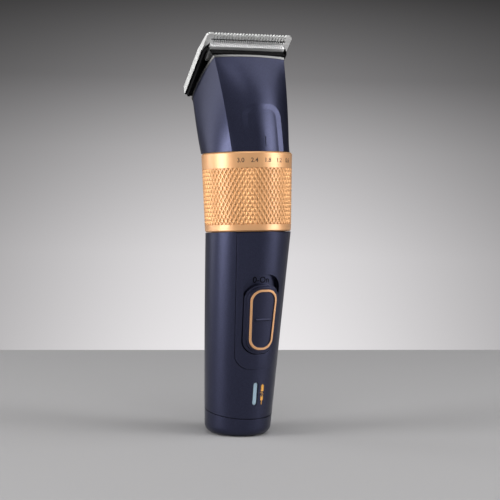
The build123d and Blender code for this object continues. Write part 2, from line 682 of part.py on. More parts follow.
def make_blade_screws():
    """Two pan-head screws that hold the fixed blade on its carrier."""
    screws = []
    for x in (-BLADE_SCREW_X, BLADE_SCREW_X):
        screw = rod(BLADE_SCREW_HEAD_R, -BLADE_T, -BLADE_T + BLADE_SCREW_HEAD_T)
        screw += rod(BLADE_SCREW_R, -BLADE_T, CARRIER_T)
        screw -= block(-BLADE_SCREW_HEAD_R, BLADE_SCREW_HEAD_R, -0.3, 0.3, -BLADE_T - 1, -BLADE_T + 0.6)
        screw -= block(-0.3, 0.3, -1.5, 1.5, -BLADE_T - 1, -BLADE_T + 0.6)
        screws.append(blade_frame * Pos(x, -BLADE_SCREW_BACK, 0) * screw)
    return screws


def make_cutter():
    """The moving cutter: fine teeth, a land, and a step with a ribbed slope."""
    tip = -CUTTER_BACK
    low = CUTTER_GAP_Z
    step = tip - CUTTER_STEP
    foot = CUTTER_TIP_T - CUTTER_GROOVE
    shoulder = step - CUTTER_TIP_T
    rear = tip - CUTTER_LEN
    outline = [(tip, low), (tip, CUTTER_TIP_T), (step + CUTTER_GROOVE, CUTTER_TIP_T), (step, foot),
               (step - CUTTER_GROOVE, foot), (shoulder, CUTTER_T), (rear, CUTTER_T), (rear, low)]
    plate = side_prism(outline, -CUTTER_HALF, CUTTER_HALF)
    half = CUTTER_GAP / 2
    slot = block(-half, half, step + CUTTER_GROOVE + CUTTER_LAND, tip + 1, low - 1, CUTTER_T)
    behind = shoulder - CUTTER_RIB_DEPTH
    rib_cut = [(step, foot), (step - CUTTER_GROOVE - CUTTER_RIB_DEPTH, foot), (behind, CUTTER_T),
               (behind, CUTTER_T + 1), (step, CUTTER_T + 1)]
    slot += side_prism(rib_cut, -half, half)
    slots = int((2 * CUTTER_HALF - CUTTER_PITCH) / CUTTER_PITCH)
    first = -CUTTER_PITCH * (slots - 1) / 2
    plate -= [Pos(first + i * CUTTER_PITCH, 0, 0) * slot for i in range(slots)]
    return blade_frame * one_solid(plate)


def holder_front():
    """The front edge of the cutter holder, in the blade's frame."""
    return -CUTTER_BACK - HOLDER_BACK


def make_cutter_holder():
    """The driven holder on the cutter: a plate and a channel over the cam's pin."""
    front = holder_front()
    plate = block(-HOLDER_HALF, HOLDER_HALF, front - HOLDER_LEN, front, CUTTER_T, CUTTER_T + HOLDER_T)
    pin_low = ring_frame.from_local_coords((0, 0, pin_base() + 1))
    pin_high = ring_frame.from_local_coords((0, 0, pin_base() + CAM_PIN_LEN))
    low = blade_frame.to_local_coords(pin_low)
    high = blade_frame.to_local_coords(pin_high)
    slot_half = CAM_PIN_R + CAM_THROW + CUTTER_SWING + 0.1
    far = front - HOLDER_LEN + 0.4
    near = far + BRIDGE_LEN
    top = CUTTER_T + HOLDER_T / 2
    prong = side_prism([(far, top), (near, top), (near - 0.5, BRIDGE_DROP),
                        (high.Y + 4, high.Z - 1), (low.Y + 3, low.Z + 1), (low.Y - 3, low.Z - 3),
                        (high.Y - 3, high.Z - 3), (far, BRIDGE_DROP)], slot_half, slot_half + PRONG_T)
    bridge = side_prism([(far, top), (near, top), (near - 0.5, BRIDGE_DROP), (far, BRIDGE_DROP)],
                        -slot_half, slot_half)
    return blade_frame * one_solid(plate + both_sides(prong) + bridge)


def carriage_low():
    """The carriage's face towards the blade, below the mating face."""
    return CUTTER_T + HOLDER_T + SPRING_T + 2 * STACK_GAP


def carriage_end():
    """The rear end of the cutter carriage, in the blade's frame."""
    return -CARRIAGE_BACK


def make_carriage():
    """The U-shaped carriage that the taper slider pushes along the blade."""
    low = carriage_low()
    high = low + CARRIAGE_T
    front = holder_front() + FIT_GAP
    legs = both_sides(block(CARRIAGE_HALF - CARRIAGE_LEG_W, CARRIAGE_HALF, carriage_end(), front, low, high))
    bar = block(-CARRIAGE_HALF, CARRIAGE_HALF, front - CARRIAGE_BAR, front, low, high)
    lip = block(-LIP_HALF, LIP_HALF, front, front + CARRIAGE_LIP, CUTTER_T + FIT_GAP, high)
    return blade_frame * one_solid(legs + bar + lip)


def make_tension_spring():
    """The flat spring that presses the holder and the cutter on to the blade."""
    low = CUTTER_T + HOLDER_T + STACK_GAP
    front = holder_front()
    rear = front - 0.6 - SPRING_LEN
    leaf = block(-SPRING_HALF, SPRING_HALF, rear, front - 0.6, low, low + SPRING_T)
    inner = SPRING_HALF - SPRING_LEG_W
    leaf -= block(-inner, inner, rear - 1, front - CARRIAGE_BAR - 0.2, low - 1, low + 1)
    return blade_frame * one_solid(leaf)


def make_carrier():
    """The black blade carrier: a plate, side rails, guide walls and hinge lugs."""
    cutter_end = -CUTTER_BACK - CUTTER_LEN - TAPER_TRAVEL - 0.4
    rear = -BLADE_LEN + 0.4
    plate = block(-CARRIER_HALF + 0.6, CARRIER_HALF - 0.6, rear, cutter_end, 0, CARRIER_T)
    plate -= block(-EAR_OUT_X, EAR_OUT_X, -DRIVE_OPENING, 0, -1, 3)
    notch_front = -HINGE_BACK + KNUCKLE_R + 0.4
    ear_notch = block(EAR_IN_X - FIT_GAP, EAR_OUT_X + 2 * FIT_GAP, rear - 1, notch_front, -1, 3)
    plate -= both_sides(ear_notch)
    rail_in = CARRIER_HALF - RAIL_W
    rail_plan = [(rail_in, rear), (CARRIER_HALF, rear), (CARRIER_HALF, -RAIL_FRONT - RAIL_TAPER),
                 (rail_in + RAIL_W / 4, -RAIL_FRONT), (rail_in, -RAIL_FRONT)]
    rail = extrude(make_face(Polyline(*rail_plan, close=True)), CARRIER_T + 0.4)
    wall_low = carriage_end() + 1.0
    groove = CARRIAGE_HALF + FIT_GAP
    wall = block(groove - 0.8, groove + GUIDE_W, wall_low, cutter_end, CARRIER_T - 0.2, GUIDE_DEPTH)
    wall -= block(groove - 3, groove, wall_low - 1, cutter_end + 1,
                  carriage_low() - FIT_GAP, carriage_low() + CARRIAGE_T + FIT_GAP)
    lug = hinge_rod(KNUCKLE_R, LUG_IN_X, LUG_OUT_X)
    lug += block(LUG_IN_X, LUG_OUT_X, -HINGE_BACK, -HINGE_BACK + EAR_FOOT,
                 HINGE_DROP - KNUCKLE_R, HINGE_DROP + KNUCKLE_R / 2)
    body = plate + both_sides(rail + wall + lug)
    body -= hinge_rod(HINGE_PIN_R + 0.05, -EAR_OUT_X, EAR_OUT_X)
    body -= [Pos(x, -BLADE_SCREW_BACK, 0) * Cylinder(BLADE_SCREW_R + 0.02, 6)
             for x in (-BLADE_SCREW_X, BLADE_SCREW_X)]
    return blade_frame * one_solid(body)


def make_hinge_pin():
    """The steel pin that the blade set tilts on."""
    return blade_frame * hinge_rod(HINGE_PIN_R, -EAR_OUT_X, EAR_OUT_X)


# -------------------------------------------------------------------- drive ----
def motor_top():
    """The motor's upper face above the ring's lower face."""
    return MOTOR_Z + MOTOR_LEN


def cam_base():
    """The cam's lower face above the ring's lower face."""
    return motor_top() + MOTOR_BOSS_H + 0.3


def pin_base():
    """The foot of the cam's pin above the ring's lower face."""
    return cam_base() + CAM_T


def make_motor():
    """The motor's can with its front boss and rear terminals."""
    can = rod(MOTOR_R, MOTOR_Z, motor_top())
    can = fillet(can.edges().filter_by(GeomType.CIRCLE), 0.8)
    can += rod(3.2, motor_top() - 0.1, motor_top() + MOTOR_BOSS_H)
    flat = block(-MOTOR_R - 1, MOTOR_R + 1, MOTOR_R - 1.4, MOTOR_R + 1, MOTOR_Z + 4, motor_top() - 4)
    can -= flat + mirror(flat, about=Plane.XZ)
    can -= rod(SHAFT_R + 0.05, motor_top() - 6, motor_top() + 2)
    return ring_frame * one_solid(can)


def make_shaft():
    """The motor's shaft."""
    return ring_frame * rod(SHAFT_R, motor_top() - 5.8, cam_base() + CAM_T - CAM_WEB)


def make_cam():
    """The eccentric drive cam: a hub with a counterweight and an offset pin."""
    base = cam_base()
    hub = rod(CAM_R, base, base + CAM_T)
    hub -= block(-CAM_R - 1, CAM_R + 1, 1.9, CAM_R + 1, base + 1.2, base + CAM_T + 1)
    pin = rod(CAM_PIN_R, base + CAM_T - 0.2, pin_base() + CAM_PIN_LEN - 0.3, y=CAM_THROW)
    pin = pin + rod(CAM_PIN_R + 0.4, base + CAM_T - 0.2, base + CAM_T + 0.5, y=CAM_THROW)
    hub = hub - rod(SHAFT_R, base - 1, base + CAM_T - CAM_WEB)
    return ring_frame * one_solid(hub + pin)


def make_motor_mount():
    """The cup in the neck that the motor stands in."""
    bore = NECK_R - NECK_WALL
    cup = rod(bore - 0.1, MOTOR_Z - 1.6, MOTOR_Z + 4.0)
    cup -= rod(MOTOR_R + 0.05, MOTOR_Z, MOTOR_Z + 5)
    cup -= rod(5.0, MOTOR_Z - 3, MOTOR_Z + 1)
    slot_half = SLIDER_HALF_Y + 0.4
    cup -= block(-bore, bore, -slot_half, slot_half, FOLLOWER_Z - 4.6 - slider_travel(), MOTOR_Z + 6) \
        - rod(MOTOR_R + 0.3, MOTOR_Z - 3, MOTOR_Z + 7)
    return ring_frame * one_solid(cup)


def make_motor_damper():
    """The rubber ring that steadies the motor's upper end in the neck."""
    bore = NECK_R - NECK_WALL
    low = motor_top() - DAMPER_BELOW
    damper = tube(bore - 0.05, MOTOR_R + 0.05, low, low + DAMPER_H)
    slot_half = SLIDER_HALF_Y + 0.5
    damper -= block(-bore - 1, bore + 1, -slot_half, slot_half, low - 1, low + DAMPER_H + 1)
    return [ring_frame * half for half in damper.solids()]


def make_taper_slider():
    """The fork that rises with the ring and pushes the cutter carriage."""
    foot = FOLLOWER_Z - 2.4
    head = motor_top() + 1.0
    leg = block(SLIDER_IN_X, SLIDER_OUT_X, -SLIDER_HALF_Y, SLIDER_HALF_Y, foot, head)
    boss = Pos((SLIDER_OUT_X + NECK_R + RING_FIT) / 2 - 0.2, 0, FOLLOWER_Z) * Rot(0, 90, 0) \
        * Cylinder(FOLLOWER_R, NECK_R + RING_FIT - SLIDER_OUT_X + 0.4)
    nose = Pos(NECK_R + RING_FIT, 0, FOLLOWER_Z) * Sphere(FOLLOWER_R)
    legs = ring_frame * both_sides(leg + boss + nose)
    gap = 0.3
    shoulder = ring_frame.from_local_coords((0, 0, head))
    at = blade_frame.to_local_coords(shoulder)
    end = carriage_end() - gap
    arm = side_prism([(at.Y - 3, at.Z - 2.2), (at.Y - 2.2, at.Z + 2.5), (at.Y + 2.0, at.Z - 2.0),
                      (end, 6.6), (end, CUTTER_T + 1.6), (end - 2.2, CUTTER_T + 1.6), (end - 3.4, 6.4)],
                     SLIDER_IN_X, SLIDER_OUT_X - 0.3)
    hoop = ring_frame * (tube(SLIDER_OUT_X, SLIDER_IN_X, head - 2.5, head)
                         - block(-20, 20, -20, SLIDER_HALF_Y - 1, head - 5, head + 5))
    return one_solid(legs + blade_frame * both_sides(arm) + hoop)


def make_detent_ball():
    """The ball that clicks into the ring's dimples."""
    ball = Pos(NECK_R + DETENT_PROUD - DETENT_R, 0, DETENT_Z) * Sphere(DETENT_R)
    return ring_frame * (Rot(0, 0, DETENT_ANGLE) * ball)


def make_detent_spring():
    """The leaf spring inside the neck that presses the ball outwards."""
    bore = NECK_R - NECK_WALL
    leaf = tube(bore - 0.05, bore - 0.35, DETENT_Z - 1.3, DETENT_Z + 1.1)
    leaf &= block(-7, 7, 0, bore + 1, DETENT_Z - 2, DETENT_Z + 2)
    return ring_frame * Rot(0, 0, DETENT_ANGLE - 90) * one_solid(leaf)


# ---------------------------------------------------------------- electrics ----
def make_cell():
    """The rechargeable cell with its raised positive end."""
    cell = Pos(0, CELL_Y, 0) * rod(CELL_R, CELL_Z, CELL_Z + CELL_LEN)
    cell = fillet(cell.edges().filter_by(GeomType.CIRCLE), 0.7)
    return cell + rod(2.8, CELL_Z + CELL_LEN - 0.1, CELL_Z + CELL_LEN + 0.6, y=CELL_Y)


def make_cradle():
    """The inner chassis: a half-round cradle for the cell with rails for the board."""
    low = CELL_Z - 1.6
    high = CELL_Z + CELL_LEN + 2.0
    inner = CELL_R + 0.1
    shell = Pos(0, CELL_Y, 0) * tube(inner + CRADLE_WALL, inner, low, high)
    shell -= block(-20, 20, -40, CELL_Y, low - 1, high + 1)
    rail = block(BOARD_HALF - 0.9, inner + CRADLE_WALL, BOARD_Y + BOARD_T, CELL_Y, BOARD_LOW_Z, BOARD_HIGH_Z)
    rail -= Pos(0, CELL_Y, 0) * rod(inner, low - 1, high + 1)
    rail &= handle_form(-HANDLE_WALL - FIT_GAP, 0, RING_Z)
    floor = Pos(0, CELL_Y, 0) * rod(inner + CRADLE_WALL, low, low + 1.1)
    roof = Pos(0, CELL_Y, 0) * rod(inner + CRADLE_WALL, high - 0.9, high)
    roof -= rod(2.0, high - 3, high + 2, y=CELL_Y)
    floor -= block(-20, 20, -40, BOARD_Y + BOARD_T, low - 1, high + 1)
    bulkhead = handle_form(-HANDLE_WALL - FIT_GAP, 0, RING_Z)
    bulkhead &= block(-30, 30, CELL_Y, 30, high - 3.4, high - 1.6)
    bulkhead -= Pos(0, CELL_Y, 0) * rod(inner, low, high + 1)
    return one_solid(shell + both_sides(rail) + floor + roof + bulkhead)


def make_board():
    """The circuit board in front of the cell."""
    board = block(-BOARD_HALF, BOARD_HALF, BOARD_Y, BOARD_Y + BOARD_T, BOARD_LOW_Z, BOARD_HIGH_Z)
    return fillet(board.edges().filter_by(Axis.Y), 1.2)


def make_contacts():
    """The two sprung strips at the cell's ends."""
    low = Pos(0, CELL_Y, 0) * block(-2.5, 2.5, -8.4, 3, CELL_Z - 0.5, CELL_Z - 0.1)
    top = CELL_Z + CELL_LEN
    high = block(-2.5, 2.5, CELL_Y - 8.0, CELL_Y + 2.6, top + 0.65, top + 0.65 + CONTACT_T)
    tail_low = block(-2.5, 2.5, BOARD_Y + BOARD_T, CELL_Y - 8.4, CELL_Z - 0.5, CELL_Z - 0.1)
    return [low + tail_low, high]


def make_jack():
    """The charging inlet: a barrel socket with its centre pin."""
    shoulder = JACK_MOUTH_Z + JACK_BORE_LEN
    jack = rod(JACK_R, JACK_MOUTH_Z, JACK_LEN, y=JACK_Y)
    jack -= rod(JACK_BORE_R, -1, shoulder, y=JACK_Y)
    jack -= rod(JACK_BORE_R - 0.45, shoulder - 1, JACK_LEN - 1.4, y=JACK_Y)
    return jack + rod(JACK_PIN_R, shoulder + 0.2, JACK_LEN - 0.5, y=JACK_Y)


# ------------------------------------------------------------------- switch ----
def make_switch_button():
    """The power button: a domed slide with a groove for its trim and a grip ridge."""
    top = handle_form(SWITCH_PROUD, 0, RING_Z)
    foot = handle_form(PANEL_PROUD - SWITCH_WELL + 0.1, 0, RING_Z)
    core = (top - foot) & switch_outline(TRIM_INSET - 0.9)
    skirt = (handle_form(SWITCH_PROUD - 1.2, 0, RING_Z) - foot) & switch_outline(0)
    dish = switch_outline(TRIM_INSET + TRIM_W + 0.3) - handle_form(SWITCH_PROUD - SWITCH_DISH, 0, RING_Z)
    groove = switch_outline(TRIM_INSET) - switch_outline(TRIM_INSET + TRIM_W)
    groove -= handle_form(SWITCH_PROUD - 0.8, 0, RING_Z)
    ridge_z = switch_middle()
    front = spine_y(ridge_z) - handle_r(ridge_z) - SWITCH_PROUD
    ridge = Pos(0, front + 0.35, ridge_z) * Rot(0, 90, 0) * Cylinder(0.55, 7.0)
    stem = block(-STEM_HALF_X, STEM_HALF_X, front + 1.4, BOARD_Y - 3.4,
                 ridge_z - STEM_HALF_Z, ridge_z + STEM_HALF_Z)
    return one_solid(core + skirt - dish - groove + ridge + stem)


def make_switch_trim():
    """The bright outline let into the button."""
    trim = handle_form(SWITCH_PROUD + TRIM_PROUD, 0, RING_Z) - handle_form(SWITCH_PROUD - 0.8, 0, RING_Z)
    trim &= switch_outline(TRIM_INSET) - switch_outline(TRIM_INSET + TRIM_W)
    return one_solid(trim)


def make_switch_module():
    """The slide switch on the board that the button's stem moves."""
    middle = switch_middle()
    body = block(-4.2, 4.2, BOARD_Y - 3.0, BOARD_Y, middle - 6.5, middle + 6.5 + SWITCH_TRAVEL)
    return body


def make_led_lens():
    """The charge light's clear window in the handle's wall."""
    return (handle_form(-LED_SUNK, 0, RING_Z) - handle_form(-HANDLE_WALL, 0, RING_Z)) & led_outline(0)


def make_light_pipe():
    """The light pipe between the lamp on the board and the window."""
    pipe = block(-1.0, 1.0, -40, BOARD_Y, LED_Z - 3.4, LED_Z + 3.4)
    return pipe & handle_form(-HANDLE_WALL - 0.1, 0, RING_Z)


# ---------------------------------------------------------------- write out ----
NODES = {
    "handle_housing": make_handle,
    "front_panel": make_front_panel,
    "base_cap": make_base_cap,
    "ring_sleeve": make_ring_sleeve,
    "knurled_band": make_knurled_band,
    "head_housing": make_head,
    "mouth_bezel": make_bezel,
    "rear_seat": make_rear_seat,
    "fixed_blade": make_fixed_blade,
    "blade_screws": make_blade_screws,
    "cutter_blade": make_cutter,
    "cutter_holder": make_cutter_holder,
    "cutter_carriage": make_carriage,
    "tension_spring": make_tension_spring,
    "blade_carrier": make_carrier,
    "blade_hinge_pin": make_hinge_pin,
    "taper_slider": make_taper_slider,
    "detent_ball": make_detent_ball,
    "detent_spring": make_detent_spring,
    "motor": make_motor,
    "motor_shaft": make_shaft,
    "drive_cam": make_cam,
    "motor_mount": make_motor_mount,
    "motor_damper": make_motor_damper,
    "battery_cell": make_cell,
    "inner_chassis": make_cradle,
    "circuit_board": make_board,
    "battery_contacts": make_contacts,
    "charging_jack": make_jack,
    "switch_button": make_switch_button,
    "switch_trim": make_switch_trim,
    "switch_module": make_switch_module,
    "led_lens": make_led_lens,
    "light_pipe": make_light_pipe,
}

os.makedirs("parts", exist_ok=True)
for node, make in NODES.items():
    made = make()
    pieces = made if isinstance(made, list) else [made]
    solids = [solid for piece in pieces for solid in piece.solids()]
    export_step(Compound(children=solids), f"parts/{node}.step")
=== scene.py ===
import json
from math import cos, pi, radians, sin

import bmesh
import bpy
from mathutils import Matrix, Vector
from mathutils.bvhtree import BVHTree


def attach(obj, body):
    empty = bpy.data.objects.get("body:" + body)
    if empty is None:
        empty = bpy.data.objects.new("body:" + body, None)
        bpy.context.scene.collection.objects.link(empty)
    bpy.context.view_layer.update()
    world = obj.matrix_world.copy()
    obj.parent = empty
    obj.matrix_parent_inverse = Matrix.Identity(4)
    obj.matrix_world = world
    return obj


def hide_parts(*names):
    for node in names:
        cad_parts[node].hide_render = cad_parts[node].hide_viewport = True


# Looks for the cordless hair clipper.  Metres, in the CAD's frame: +Z up the handle,
# -Y to the front.  The CAD nodes keep their shapes, and the pieces added here ride on
# the CAD bodies.

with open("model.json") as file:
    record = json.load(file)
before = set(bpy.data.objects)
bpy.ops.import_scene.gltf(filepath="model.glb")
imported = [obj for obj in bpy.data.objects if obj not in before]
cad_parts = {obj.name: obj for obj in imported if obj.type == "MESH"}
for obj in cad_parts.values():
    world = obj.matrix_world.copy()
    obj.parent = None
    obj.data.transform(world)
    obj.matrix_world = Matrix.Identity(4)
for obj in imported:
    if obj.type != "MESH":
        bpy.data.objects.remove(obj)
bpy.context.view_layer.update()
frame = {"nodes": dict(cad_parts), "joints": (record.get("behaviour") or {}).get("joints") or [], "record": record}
nodes = frame["nodes"]
joints = {joint["name"]: joint for joint in frame["joints"]}

MM = 0.001
BACKWARD = Vector((0, 1, 0))
SIDEWAYS = Vector((1, 0, 0))


# ------------------------------------------------------------------- camera ----
VIEW_AZIMUTH = radians(-27.5)
VIEW_ELEVATION = radians(4.65)
VIEW_ROLL = radians(1.3)
VIEW_FROM = Vector((-0.37213, -0.72344, 0.14958))
VIEW_LENS = 129.6           # focal length in mm, for a sensor of the width below
VIEW_SENSOR = 36.0
VIEW_RIGHT = Vector((cos(VIEW_AZIMUTH), sin(VIEW_AZIMUTH), 0))
VIEW_AHEAD = Vector((-sin(VIEW_AZIMUTH), cos(VIEW_AZIMUTH), 0))


def make_camera():
    """The photograph's viewpoint: a long lens a little above the clipper's middle."""
    back = Vector((sin(VIEW_AZIMUTH) * cos(VIEW_ELEVATION),
                   -cos(VIEW_AZIMUTH) * cos(VIEW_ELEVATION), sin(VIEW_ELEVATION)))
    above = back.cross(VIEW_RIGHT)
    right = VIEW_RIGHT * cos(VIEW_ROLL) + above * sin(VIEW_ROLL)
    up = above * cos(VIEW_ROLL) - VIEW_RIGHT * sin(VIEW_ROLL)
    data = bpy.data.cameras.new("camera")
    data.sensor_width = VIEW_SENSOR
    data.lens = VIEW_LENS
    data.clip_start = 0.01
    data.clip_end = 20.0
    camera = bpy.data.objects.new("camera", data)
    turn = Matrix((right, up, back)).transposed().to_4x4()
    camera.matrix_world = Matrix.Translation(VIEW_FROM) @ turn
    bpy.context.scene.collection.objects.link(camera)
    bpy.context.scene.camera = camera


# ---------------------------------------------------------- material helpers ----
GRAIN_H = 0.02 * MM         # height of the finest grain and scratches
EDGE_R = 0.25 * MM          # edges shade as if rounded this much
STEEL_EDGE_R = 0.10 * MM
EDGE_RAYS = 4


class Paint:
    """A node material in the making, with short ways to add the usual nodes."""

    def __init__(self, name, base, rough, metal=0.0, **sockets):
        self.material = bpy.data.materials.new(name)
        self.material.use_nodes = True
        self.tree = self.material.node_tree
        self.shader = self.tree.nodes["Principled BSDF"]
        self.set("Base Color", (*base, 1.0))
        self.set("Roughness", rough)
        self.set("Metallic", metal)
        for socket, value in sockets.items():
            self.set(socket.replace("_", " "), value)
        self.base = base

    def set(self, socket, value):
        self.shader.inputs[socket].default_value = value

    def node(self, kind, **inputs):
        made = self.tree.nodes.new(kind)
        for name, value in inputs.items():
            made.inputs[name.replace("_", " ")].default_value = value
        return made

    def link(self, source, target):
        self.tree.links.new(source, target)

    def coords(self, scale=(1.0, 1.0, 1.0)):
        """Object coordinates, in metres, scaled."""
        where = self.node("ShaderNodeTexCoord")
        mapping = self.node("ShaderNodeMapping", Scale=scale)
        self.link(where.outputs["Object"], mapping.inputs["Vector"])
        return mapping.outputs["Vector"]

    def noise(self, scale, detail, stretch=(1.0, 1.0, 1.0), roughness=0.55):
        """Noise with so many blotches to the metre, stretched where stretch is low."""
        made = self.node("ShaderNodeTexNoise", Scale=scale, Detail=detail, Roughness=roughness)
        self.link(self.coords(stretch), made.inputs["Vector"])
        return made.outputs["Fac"]

    def blend(self, source, low, high, start, end, socket):
        """Blends a socket from one colour to another as the source rises from start to end."""
        made = self.node("ShaderNodeValToRGB")
        for stop, place, colour in zip(made.color_ramp.elements, (start, end), (low, high)):
            stop.position = place
            stop.color = (*colour, 1.0)
        self.link(source, made.inputs["Fac"])
        self.link(made.outputs["Color"], self.shader.inputs[socket])

    def vary_colour(self, source, low, high):
        """Base colour from low to high times the base, as the source rises."""
        dark = [channel * low for channel in self.base]
        light = [channel * high for channel in self.base]
        self.blend(source, dark, light, 0.35, 0.65, "Base Color")

    def vary_rough(self, source, low, high):
        """Roughness from low to high, as the source rises."""
        self.blend(source, [low] * 3, [high] * 3, 0.30, 0.70, "Roughness")

    def bump(self, source, strength, edge=EDGE_R):
        """A fine bump, and edges that shade as if they were rounded."""
        made = self.node("ShaderNodeBump", Strength=strength, Distance=GRAIN_H)
        self.link(source, made.inputs["Height"])
        rounded = self.node("ShaderNodeBevel", Radius=edge)
        rounded.samples = EDGE_RAYS
        self.link(rounded.outputs["Normal"], made.inputs["Normal"])
        self.link(made.outputs["Normal"], self.shader.inputs["Normal"])

    def maths(self, way, *values):
        """One sum on numbers or sockets."""
        made = self.node("ShaderNodeMath")
        made.operation = way
        for index, value in enumerate(values):
            if isinstance(value, float):
                made.inputs[index].default_value = value
            else:
                self.link(value, made.inputs[index])
        return made.outputs["Value"]

    def along(self, axis):
        """How far a point lies along an axis, in metres."""
        made = self.node("ShaderNodeVectorMath")
        made.operation = "DOT_PRODUCT"
        self.link(self.coords(), made.inputs[0])
        made.inputs[1].default_value = axis
        return made.outputs["Value"]

    def darken(self, mask, colour):
        """Lays a colour over the base colour where the mask is 1."""
        made = self.node("ShaderNodeMixRGB", Color2=(*colour, 1.0))
        before = self.shader.inputs["Base Color"].links[0].from_socket
        self.link(mask, made.inputs["Fac"])
        self.link(before, made.inputs["Color1"])
        self.link(made.outputs["Color"], self.shader.inputs["Base Color"])


def satin_navy(name, base, rough):
    """Dark blue satin lacquer with a fine metallic grain."""
    paint = Paint(name, base, rough, metal=0.88, Coat_Weight=0.16, Coat_Roughness=0.28)
    grain = paint.noise(2200.0, 2.0)
    paint.vary_colour(grain, 0.86, 1.14)
    paint.vary_rough(paint.noise(120.0, 4.0), rough * 0.95, rough * 1.06)
    paint.bump(grain, 0.06)
    return paint.material


def plated(name, base, rough, metal=1.0, coat=0.4):
    """Plating over a finely turned surface."""
    paint = Paint(name, base, rough, metal=metal, Coat_Weight=coat, Coat_Roughness=0.30)
    rings = paint.noise(900.0, 2.0, stretch=(0.06, 0.06, 3.0))
    paint.vary_colour(paint.noise(60.0, 3.0), 0.95, 1.04)
    paint.vary_rough(rings, rough * 0.90, rough * 1.12)
    paint.bump(rings, 0.05)
    return paint.material


def scratched_steel(name, base, rough, stretch, metal):
    """Steel with fine scratches, which run the way in which the stretch is low."""
    paint = Paint(name, base, rough, metal=metal)
    scratches = paint.noise(700.0, 4.0, stretch, roughness=0.7)
    paint.vary_colour(scratches, 0.90, 1.06)
    paint.vary_rough(scratches, rough * 0.85, rough * 1.2)
    paint.bump(scratches, 0.06, STEEL_EDGE_R)
    return paint


def ground_steel(name, base, rough, stretch, metal=1.0):
    """Plain ground steel."""
    return scratched_steel(name, base, rough, stretch, metal).material


BLADE_ANGLE = radians(40)
BLADE_METAL = 0.80
BLADE_SCRATCHES = (0.08, 1.0, 1.0)
PAINTED_SHADE_BACK = 2.9 * MM         # the painted shade starts this far behind the tips
PAINTED_SHADE_HALF = 18.6 * MM        # and reaches this far to each side
PAINTED_SHADE_FLARE_BACK = 5.0 * MM   # it widens from here on, by so much to each side
PAINTED_SHADE_FLARE = 0.57
PAINTED_SHADE_DEEP = 0.4 * MM         # it lies on the mating face and no deeper than this
# the black of the painted shade on the fixed blade's mating face
PAINTED_SHADE_BLACK = (0.010, 0.010, 0.011)


def painted_shade_steel(name, base, rough, blade):
    """The fixed blade's steel, with painted shade: black laid on its mating face where the cutter lies over it and
    shades it.
    """
    paint = scratched_steel(name, base, rough, BLADE_SCRATCHES, BLADE_METAL)
    tip_way = Vector((0, -sin(BLADE_ANGLE), cos(BLADE_ANGLE)))
    face_way = Vector((0, -cos(BLADE_ANGLE), -sin(BLADE_ANGLE)))
    tips = max(spot.co.dot(tip_way) for spot in blade.data.vertices)
    face = max(spot.co.dot(face_way) for spot in blade.data.vertices)
    back = paint.maths("SUBTRACT", tips, paint.along(tip_way))
    flare = paint.maths("MAXIMUM", paint.maths("SUBTRACT", back, PAINTED_SHADE_FLARE_BACK), 0.0)
    side = paint.maths("ABSOLUTE", paint.along(SIDEWAYS))
    inner = paint.maths("SUBTRACT", side, paint.maths("MULTIPLY", flare, PAINTED_SHADE_FLARE))
    mask = paint.maths("GREATER_THAN", back, PAINTED_SHADE_BACK)
    mask = paint.maths("MULTIPLY", mask, paint.maths("LESS_THAN", inner, PAINTED_SHADE_HALF))
    top = paint.maths("GREATER_THAN", paint.along(face_way), face - PAINTED_SHADE_DEEP)
    # painted shade: the mating face goes black behind the tips, where the cutter shades it
    paint.darken(paint.maths("MULTIPLY", mask, top), PAINTED_SHADE_BLACK)
    return paint.material


def moulded(name, base, rough, grain=1800.0, shine=0.5):
    """Moulded plastic with a fine spark-eroded grain."""
    paint = Paint(name, base, rough, Specular_IOR_Level=shine)
    fine = paint.noise(grain, 3.0)
    paint.vary_colour(paint.noise(90.0, 3.0), 0.85, 1.18)
    paint.vary_rough(fine, rough * 0.88, rough * 1.12)
    paint.bump(fine, 0.12)
    return paint.material


# Every material slot of the record, with its paint: name, colour, roughness and the rest.
materials = {
    "navy_shell": satin_navy("navy_satin", (0.031, 0.034, 0.068), 0.34),
    "switch_navy": satin_navy("switch_satin", (0.028, 0.030, 0.060), 0.40),
    "silver_trim": plated("silver_plate", (0.20, 0.20, 0.20), 0.30),
    "copper_metal": plated("rose_gold", (0.76, 0.40, 0.18), 0.42, metal=0.50, coat=0.7),
    "blade_steel": ground_steel("cutter_steel", (0.84, 0.84, 0.84), 0.38,
                                BLADE_SCRATCHES, BLADE_METAL),
    "screw_steel": ground_steel("screw_steel", (0.62, 0.62, 0.64), 0.28, (1.0, 1.0, 0.1)),
    "spring_steel": ground_steel("spring_steel", (0.55, 0.55, 0.56), 0.30, (0.1, 1.0, 1.0)),
    "motor_steel": ground_steel("motor_steel", (0.60, 0.60, 0.61), 0.36, (1.0, 1.0, 0.08)),
    "black_plastic": moulded("black_plastic", (0.0018, 0.0018, 0.0022), 0.55, shine=0.06),
    "white_plastic": moulded("white_acetal", (0.80, 0.80, 0.77), 0.38),
    "jack_plastic": moulded("socket_plastic", (0.014, 0.014, 0.015), 0.35),
    "damper_rubber": moulded("soft_rubber", (0.022, 0.022, 0.022), 0.75, 900.0),
    "cell_sleeve": moulded("cell_sleeve", (0.06, 0.26, 0.12), 0.28),
    "board_green": moulded("board_mask", (0.015, 0.14, 0.06), 0.30),
    "lens_clear": moulded("frosted_lens", (0.36, 0.50, 0.60), 0.30, 2600.0),
}

slots = {part["node"]: part["material_slot"] for part in frame["record"]["subparts"]}
for name, node in nodes.items():
    for index in range(len(node.data.materials)):
        node.data.materials[index] = materials[slots[name]]
fixed_blade = nodes["fixed_blade"]
# the fixed blade's steel, with painted shade laid on its mating face
fixed_blade.data.materials[0] = painted_shade_steel("blade_steel", (0.80, 0.80, 0.79), 0.40, fixed_blade)


# ------------------------------------------------------------- mesh helpers ----
FIGURE_SHARE = 0.72         # height of a figure, as a share of the type's size
RAY_AHEAD = 0.1             # rays towards the skin start this far in front of the axis


